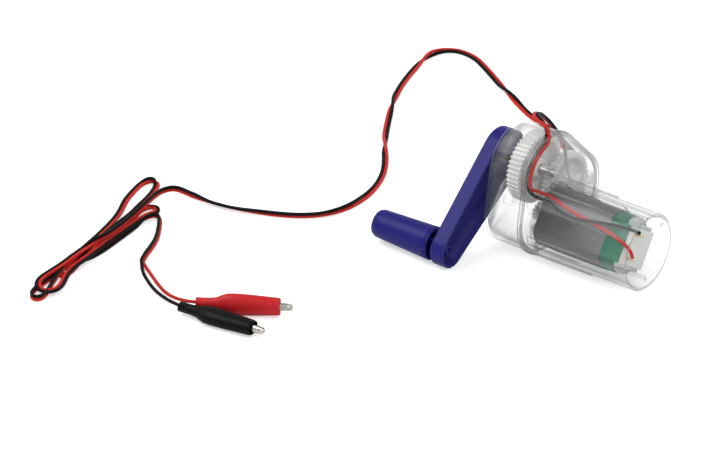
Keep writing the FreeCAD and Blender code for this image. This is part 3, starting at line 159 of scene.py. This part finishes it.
hank_route = [
    (-0.1415, -0.0539, 0.0010), (-0.1491, -0.0540, 0.0015), (-0.1513, -0.0589, 0.0024),
    (-0.1507, -0.0663, 0.0034), (-0.1479, -0.0773, 0.0042), (-0.1462, -0.0870, 0.0044),
    (-0.1447, -0.0964, 0.0044), (-0.1441, -0.1064, 0.0044), (-0.1455, -0.1150, 0.0044),
    (-0.1454, -0.1253, 0.0044), (-0.1445, -0.1366, 0.0042), (-0.1450, -0.1443, 0.0038),
    (-0.1454, -0.1507, 0.0032), (-0.1423, -0.1554, 0.0028), (-0.1380, -0.1560, 0.0024),
    (-0.1353, -0.1524, 0.0022), (-0.1359, -0.1470, 0.0022), (-0.1395, -0.1400, 0.0024),
    (-0.1414, -0.1330, 0.0026), (-0.1417, -0.1252, 0.0026), (-0.1424, -0.1161, 0.0026),
    (-0.1431, -0.1077, 0.0026), (-0.1437, -0.0977, 0.0026), (-0.1442, -0.0876, 0.0026),
    (-0.1445, -0.0801, 0.0024), (-0.1429, -0.0750, 0.0020), (-0.1473, -0.0705, 0.0013),
    (-0.1514, -0.0750, 0.0009), (-0.1487, -0.0858, 0.0009), (-0.1482, -0.0959, 0.0009),
    (-0.1478, -0.1076, 0.0009), (-0.1467, -0.1201, 0.0009), (-0.1448, -0.1347, 0.0009),
    (-0.1441, -0.1454, 0.0009), (-0.1436, -0.1527, 0.0009), (-0.1429, -0.1582, 0.0009),
    (-0.1404, -0.1616, 0.0009), (-0.1372, -0.1612, 0.0009), (-0.1366, -0.1568, 0.0009),
    (-0.1408, -0.1472, 0.0012), (-0.1436, -0.1376, 0.0022), (-0.1468, -0.1237, 0.0025),
    (-0.1483, -0.1144, 0.0025), (-0.1503, -0.1036, 0.0023), (-0.1537, -0.0910, 0.0015),
    (-0.1573, -0.0818, 0.0009), (-0.1612, -0.0742, 0.0009), (-0.1637, -0.0654, 0.0009),
    (-0.1652, -0.0582, 0.0009), (-0.1634, -0.0542, 0.0009), (-0.1600, -0.0540, 0.0009),
    (-0.1574, -0.0580, 0.0012), (-0.1544, -0.0656, 0.0018), (-0.1520, -0.0752, 0.0025),
    (-0.1498, -0.0845, 0.0027), (-0.1490, -0.0930, 0.0027), (-0.1481, -0.1026, 0.0026),
    (-0.1464, -0.1130, 0.0018), (-0.1445, -0.1246, 0.0010), (-0.1416, -0.1331, 0.0009),
    (-0.1416, -0.1384, 0.0009), (-0.1439, -0.1402, 0.0009), (-0.1468, -0.1382, 0.0009),
    (-0.1478, -0.1286, 0.0009), (-0.1428, -0.1231, 0.0009), (-0.1421, -0.1136, 0.0009),
    (-0.1427, -0.1045, 0.0009), (-0.1434, -0.0952, 0.0009), (-0.1444, -0.0855, 0.0009),
    (-0.1444, -0.0796, 0.0009), (-0.1429, -0.0766, 0.0009), (-0.1399, -0.0769, 0.0009),
    (-0.1353, -0.0830, 0.0009), (-0.1300, -0.0910, 0.0009), (-0.1267, -0.0989, 0.0009),
    (-0.1246, -0.1061, 0.0009), (-0.1225, -0.1104, 0.0009)]


def smooth_line(name, route):
    """The points of one smooth curve whose handles are the route's points."""
    data = bpy.data.curves.new(name, "CURVE")
    data.dimensions = "3D"
    data.resolution_u = points_per_handle
    spline = data.splines.new("NURBS")
    spline.points.add(len(route) - 1)
    for point, place in zip(spline.points, route):
        point.co = (*place, 1)
    spline.order_u = 3
    spline.use_endpoint_u = True
    curve = bpy.data.objects.new(name, data)
    mesh = bpy.data.meshes.new_from_object(curve)
    line = [vertex.co.copy() for vertex in mesh.vertices]
    bpy.data.objects.remove(curve)
    bpy.data.meshes.remove(mesh)
    return line


def round_wire(name, line, diameter, finish):
    """A round wire through a line of points, as a mesh tube."""
    data = bpy.data.curves.new(name, "CURVE")
    data.dimensions = "3D"
    data.bevel_depth = diameter / 2
    data.bevel_resolution = 3
    data.use_fill_caps = True
    spline = data.splines.new("POLY")
    spline.points.add(len(line) - 1)
    for point, place in zip(spline.points, line):
        point.co = (*place, 1)
    wire = bpy.data.objects.new(name, data)
    bpy.context.scene.collection.objects.link(wire)
    bpy.ops.object.select_all(action="DESELECT")
    wire.select_set(True)
    bpy.context.view_layer.objects.active = wire
    bpy.ops.object.convert(target="MESH")
    wire = bpy.context.object
    bpy.ops.object.shade_smooth()
    wire.data.materials.append(finish)
    return wire


grain_size = 600


def plain_finish(name, colour, roughness=0.4, metallic=0.0, grain=0.03, **extra):
    """A finish for one kind of surface, with its colour mottled a little lighter and darker."""
    finish = bpy.data.materials.new(name)
    finish.use_nodes = True
    nodes = finish.node_tree.nodes
    links = finish.node_tree.links
    shader = nodes["Principled BSDF"]
    shader.inputs["Roughness"].default_value = roughness
    shader.inputs["Metallic"].default_value = metallic
    for socket, value in extra.items():
        shader.inputs[socket.replace("_", " ")].default_value = value
    place = nodes.new("ShaderNodeTexCoord")
    noise = nodes.new("ShaderNodeTexNoise")
    noise.inputs["Scale"].default_value = grain_size
    noise.inputs["Detail"].default_value = 3
    links.new(place.outputs["Object"], noise.inputs["Vector"])
    tones = nodes.new("ShaderNodeValToRGB")
    tones.color_ramp.elements[0].position = 0.3
    tones.color_ramp.elements[1].position = 0.7
    tones.color_ramp.elements[0].color = [c * (1 - grain) for c in colour] + [1]
    tones.color_ramp.elements[1].color = [min(1, c * (1 + grain)) for c in colour] + [1]
    links.new(noise.outputs["Fac"], tones.inputs["Fac"])
    links.new(tones.outputs["Color"], shader.inputs["Base Color"])
    finish.diffuse_color = list(colour) + [1]
    return finish


red_vinyl = plain_finish("red_vinyl", (0.56, 0.016, 0.01), roughness=0.4, grain=0.06, IOR=1.3)
black_vinyl = plain_finish("black_vinyl", (0.004, 0.004, 0.0045), roughness=0.45, grain=0.1,
                           IOR=1.2)
lead_line = smooth_line("lead_line", lead_route + hank_route)
travelled = [0.0]
for here, there in zip(lead_line, lead_line[1:]):
    travelled.append(travelled[-1] + (there - here).length)

# places where the flat lead turns over or leans: number of the nearest handle of the route, length
# of the turn, and its half turns
turn_overs = []
for handle, turn_span, half_turns in (
        (1.6, 0.012, 1.0), (22.0, 0.027, 1.0), (29.0, 0.027, 1.0), (33.0, 0.027, 1.0),
        (36.0, 0.027, 1.0), (40.8, 0.045, 0.62), (45.4, 0.02, 0.2), (47.7, 0.012, -0.3),
        (56.6, 0.010, -0.52), (78.0, 0.012, 0.5), (89.0, 0.012, 0.5),
        (98.1, 0.013, -1.0), (117.0, 0.010, 0.36)):
    turn_overs.append((travelled[int((handle - 0.5) * points_per_handle)], turn_span, half_turns))

# the two wires lie side by side across the lead's way: flat where it runs level, turned over in
# places, and raised on the table by as much as the lead leans
least_level_run = 0.3
level_pull = 0.2
table_reach = 0.008
red_line, black_line = [], []
side = Vector((1, 0, 0))
last_number = len(lead_line) - 1
for number, place in enumerate(lead_line):
    ahead = (lead_line[min(number + 1, last_number)] - lead_line[max(number - 1, 0)]).normalized()
    level_side = Vector((ahead.y, -ahead.x, 0))
    side = side - ahead * side.dot(ahead)
    if level_side.length > least_level_run:
        side = side.normalized() * (1 - level_pull) + level_side.normalized() * level_pull
    side = (side - ahead * side.dot(ahead)).normalized()
    up = side.cross(ahead)
    angle = 0.0
    for turn_place, turn_span, half_turns in turn_overs:
        step = min(1, max(0, (travelled[number] - turn_place) / turn_span + 0.5))
        angle += math.pi * half_turns * step * step * (3 - 2 * step)
    offset = (side * math.cos(angle) + up * math.sin(angle)) * (wire_diameter / 2)
    lift = Vector((0, 0, abs(offset.z) if place.z <= table_reach else 0))
    red_line.append(place + lift + offset)
    black_line.append(place + lift - offset)
twin_lead = round_wire("twin_lead", black_line, wire_diameter, black_vinyl)
red_half = round_wire("twin_lead_red", red_line, wire_diameter, red_vinyl)
bpy.ops.object.select_all(action="DESELECT")
red_half.select_set(True)
twin_lead.select_set(True)
bpy.context.view_layer.objects.active = twin_lead
bpy.ops.object.join()
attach(twin_lead, "generator")
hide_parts("lead_cable", "lead_hank", "lead_tail")

# ------------------------------------------------------------------ parted wires
# Past the hank the flat lead is pulled apart, and each single wire runs to the soft sleeve of
# its own clip, rising from the table into the sleeve's neck.
black_tail_route = [
    tuple(black_line[-1]), (-0.1187, -0.1155, 0.0009), (-0.1117, -0.1206, 0.0009),
    (-0.1034, -0.1255, 0.0010), (-0.0954, -0.1292, 0.0022), (-0.0885, -0.1320, 0.0035),
    (-0.0817, -0.1323, 0.0036)]
red_tail_route = [
    tuple(red_line[-1]), (-0.1114, -0.1172, 0.0009), (-0.1013, -0.1231, 0.0009),
    (-0.0945, -0.1260, 0.0018), (-0.0878, -0.1280, 0.0034), (-0.0824, -0.1285, 0.0047),
    (-0.0777, -0.1263, 0.00485)]
for colour, route, finish in (("black", black_tail_route, black_vinyl),
                              ("red", red_tail_route, red_vinyl)):
    tail_line = smooth_line(colour + "_tail_line", route)
    tail = round_wire(colour + "_tail_wire", tail_line, wire_diameter, finish)
    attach(tail, "generator")
    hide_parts("tail_" + colour)

# ------------------------------------------------------------------ clear case
# Two clear styrene mouldings: the deep gear cover and the back half with the motor tube.
# They are glossy all over. The rim of the mouth, the seams and the sides of the ribs carry a pale
# grey painted shade for the darkening that thick clear edges show.  As on all the moulded and
# turned pieces below, only the curved faces are smooth, and the edges stay sharp.
clear_styrene = plain_finish("clear_styrene", (0.66, 0.67, 0.68), roughness=0.06, metallic=0.6,
                             grain=0.01)
clear_nodes = clear_styrene.node_tree.nodes
clear_links = clear_styrene.node_tree.links
clear_see_through = clear_nodes.new("ShaderNodeBsdfTransparent")
clear_see_through.inputs["Color"].default_value = (0.985, 0.985, 0.985, 1)
clear_slant = clear_nodes.new("ShaderNodeLayerWeight")
clear_slant.inputs["Blend"].default_value = 0.5
clear_power = clear_nodes.new("ShaderNodeMath")
clear_power.operation = "POWER"
clear_power.inputs[1].default_value = 3.6
clear_links.new(clear_slant.outputs["Facing"], clear_power.inputs[0])
clear_share = clear_nodes.new("ShaderNodeMapRange")
clear_share.inputs["To Min"].default_value = 0.035
clear_share.inputs["To Max"].default_value = 0.8
clear_links.new(clear_power.outputs[0], clear_share.inputs["Value"])
clear_mix = clear_nodes.new("ShaderNodeMixShader")
clear_links.new(clear_share.outputs["Result"], clear_mix.inputs[0])
clear_links.new(clear_see_through.outputs[0], clear_mix.inputs[1])
clear_links.new(clear_nodes["Principled BSDF"].outputs[0], clear_mix.inputs[2])
clear_links.new(clear_mix.outputs[0], clear_nodes["Material Output"].inputs["Surface"])
# painted shade: a pale grey, partly opaque finish that darkens the thick clear edges, the mouth
# rim, the seams and the rib sides
clear_edge_shade = clear_styrene.copy()
clear_edge_shade.name = "clear_edge_shade"
clear_edge_shade.node_tree.nodes["Principled BSDF"].inputs["Metallic"].default_value = 0.0
for stop in clear_edge_shade.node_tree.nodes["Color Ramp"].color_ramp.elements:
    stop.color = (0.36, 0.39, 0.36, 1)
clear_edge_shade.node_tree.nodes["Map Range"].inputs["To Min"].default_value = 0.42


def dressed(node, body, finish, smooth_angle=28):
    """A copy of a node's solid with smooth curved faces and its finish, riding on its body."""
    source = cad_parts[node]
    piece = bpy.data.objects.new(node + "_finished", source.data.copy())
    bpy.context.scene.collection.objects.link(piece)
    bpy.ops.object.select_all(action="DESELECT")
    piece.select_set(True)
    bpy.context.view_layer.objects.active = piece
    bpy.ops.object.mode_set(mode="EDIT")
    bpy.ops.mesh.select_all(action="SELECT")
    bpy.ops.mesh.remove_doubles(threshold=0.000002)
    bpy.ops.mesh.select_all(action="DESELECT")
    bpy.ops.object.mode_set(mode="OBJECT")
    bpy.ops.object.shade_smooth_by_angle(angle=math.radians(smooth_angle))
    piece.data.materials.clear()
    piece.data.materials.append(finish)
    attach(piece, body)
    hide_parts(node)
    return piece


motor_axis_y, motor_axis_z = 0.00252, 0.0173
tube_skin = 0.01715
mouth_from_x = 0.047
seam_from_x, seam_to_x = 0.0025, 0.0052
ribs_from_x = 0.008
squarely_along = 0.9
mostly_across = 0.6
for shell in ("gear_cover", "motor_housing"):
    clear_shell = dressed(shell, "generator", clear_styrene, smooth_angle=30)
    weighted = clear_shell.modifiers.new("weighted_normals", "WEIGHTED_NORMAL")
    weighted.keep_sharp = True
    bpy.context.view_layer.objects.active = clear_shell
    bpy.ops.object.modifier_apply(modifier="weighted_normals")
    clear_shell.data.materials.append(clear_edge_shade)
    for facet in clear_shell.data.polygons:
        from_axis = Vector((0, facet.center.y - motor_axis_y, facet.center.z - motor_axis_z))
        endways = abs(facet.normal.x) > squarely_along
        mouth = endways and facet.center.x > mouth_from_x
        seam = endways and seam_from_x < facet.center.x < seam_to_x
        rib_side = (facet.center.x > ribs_from_x and from_axis.length > tube_skin
                    and abs(facet.normal.dot(from_axis.normalized())) < mostly_across)
        # these facets take the pale grey painted shade of the thick clear edges
        if mouth or seam or rib_side:
            facet.material_index = 1

# ------------------------------------------------------------------ crank
# Deep royal blue nylon arm, its back ribbed like a channel, and a tapered hollow knob of the
# same plastic that turns on a ribbed spindle of it.
blue_nylon = plain_finish("blue_nylon", (0.012, 0.009, 0.165), roughness=0.4, grain=0.05, IOR=1.3)
dressed("crank_arm", "crank", blue_nylon)
dressed("crank_knob", "knob", blue_nylon)
dressed("knob_spindle", "crank", blue_nylon)

# ------------------------------------------------------------------ axles, screws and washers
# Bright zinc-plated steel, turned and headed.  Some turn with the crank, the idler's axle and the
# motor's screws stay in the case, and the motor's shaft turns on its own.
bright_steel = plain_finish("bright_steel", (0.62, 0.61, 0.59), roughness=0.24, metallic=1.0,
                            grain=0.08)
for steel_node, steel_body in (
        ("crank_axle", "crank"), ("crank_screw", "crank"), ("crank_washer", "crank"),
        ("knob_screw", "crank"), ("axle_retainer", "crank"), ("idler_axle", "generator"),
        ("motor_screws", "generator"), ("motor_shaft", "rotor")):
    dressed(steel_node, steel_body, bright_steel)

# ------------------------------------------------------------------ gears
# Natural white acetal, with fine straight teeth: a large gear on the crank's axle, a double one
# on its own axle, and a small pinion on the motor's shaft.
white_acetal = plain_finish("white_acetal", (0.83, 0.83, 0.81), roughness=0.42, grain=0.02)
for gear_node, gear_body in (("drive_gear", "crank"), ("idler_gear", "idler"),
                             ("motor_pinion", "rotor")):
    dressed(gear_node, gear_body, white_acetal)

# ------------------------------------------------------------------ motor
# A small direct current motor: drawn steel can with two flats, green moulded end bell with two
# solder tabs, and inside it the magnets, the three-pole armature, commutator and brushes.
drawn_steel = plain_finish("drawn_steel", (0.2, 0.2, 0.205), roughness=0.6, metallic=0.85,
                           grain=0.06)
sea_green = plain_finish("sea_green", (0.03, 0.2, 0.12), roughness=0.45, grain=0.05)
pale_end = plain_finish("pale_end", (0.72, 0.73, 0.71), roughness=0.5, grain=0.03)
dark_ferrite = plain_finish("dark_ferrite", (0.05, 0.05, 0.052), roughness=0.7, grain=0.15)
winding_copper = plain_finish("winding_copper", (0.5, 0.2, 0.08), roughness=0.35, metallic=0.8,
                              grain=0.1)
contact_brass = plain_finish("contact_brass", (0.7, 0.52, 0.24), roughness=0.3, metallic=1.0,
                             grain=0.08)
dressed("motor_can", "generator", drawn_steel)
end_bell = dressed("motor_end_bell", "generator", sea_green)
end_bell.data.materials.append(pale_end)
for facet in end_bell.data.polygons:
    if facet.normal.x > squarely_along:
        facet.material_index = 1
dressed("motor_magnets", "generator", dark_ferrite)
dressed("motor_brushes", "generator", dark_ferrite)
dressed("motor_armature", "rotor", winding_copper)
dressed("motor_commutator", "rotor", contact_brass)
dressed("motor_terminals", "generator", contact_brass)

# ------------------------------------------------------------------ wires inside the case
# The same two vinyl-covered wires, pulled apart inside the notch, run down the near wall, through
# the back wall and beside the motor to its solder tabs.
dressed("inner_wire_red", "generator", red_vinyl, smooth_angle=60)
dressed("inner_wire_black", "generator", black_vinyl, smooth_angle=60)

# ------------------------------------------------------------------ clips
# Each wire ends in a small clip: two pressed, nickel-plated jaws on a hinge pin with its spring,
# inside a soft vinyl sleeve that leaves only the tips bare.
soft_red = plain_finish("soft_red", (0.55, 0.016, 0.02), roughness=0.36, grain=0.05, IOR=1.3)
soft_black = plain_finish("soft_black", (0.003, 0.003, 0.0035), roughness=0.38, grain=0.1, IOR=1.22)
nickel_plate = plain_finish("nickel_plate", (0.6, 0.57, 0.53), roughness=0.22, metallic=1.0,
                            grain=0.1)
for colour, sleeve_finish in (("black", soft_black), ("red", soft_red)):
    clip_pieces = [dressed(colour + "_clip_sleeve", "generator", sleeve_finish,
                           smooth_angle=40)]
    for part in ("lower_jaw", "pin", "spring"):
        clip_pieces.append(dressed(colour + "_clip_" + part, "generator", nickel_plate))
    clip_pieces.append(dressed(colour + "_clip_upper_jaw", colour + "_jaw", nickel_plate))

bpy.context.scene.view_settings.view_transform = "Standard"
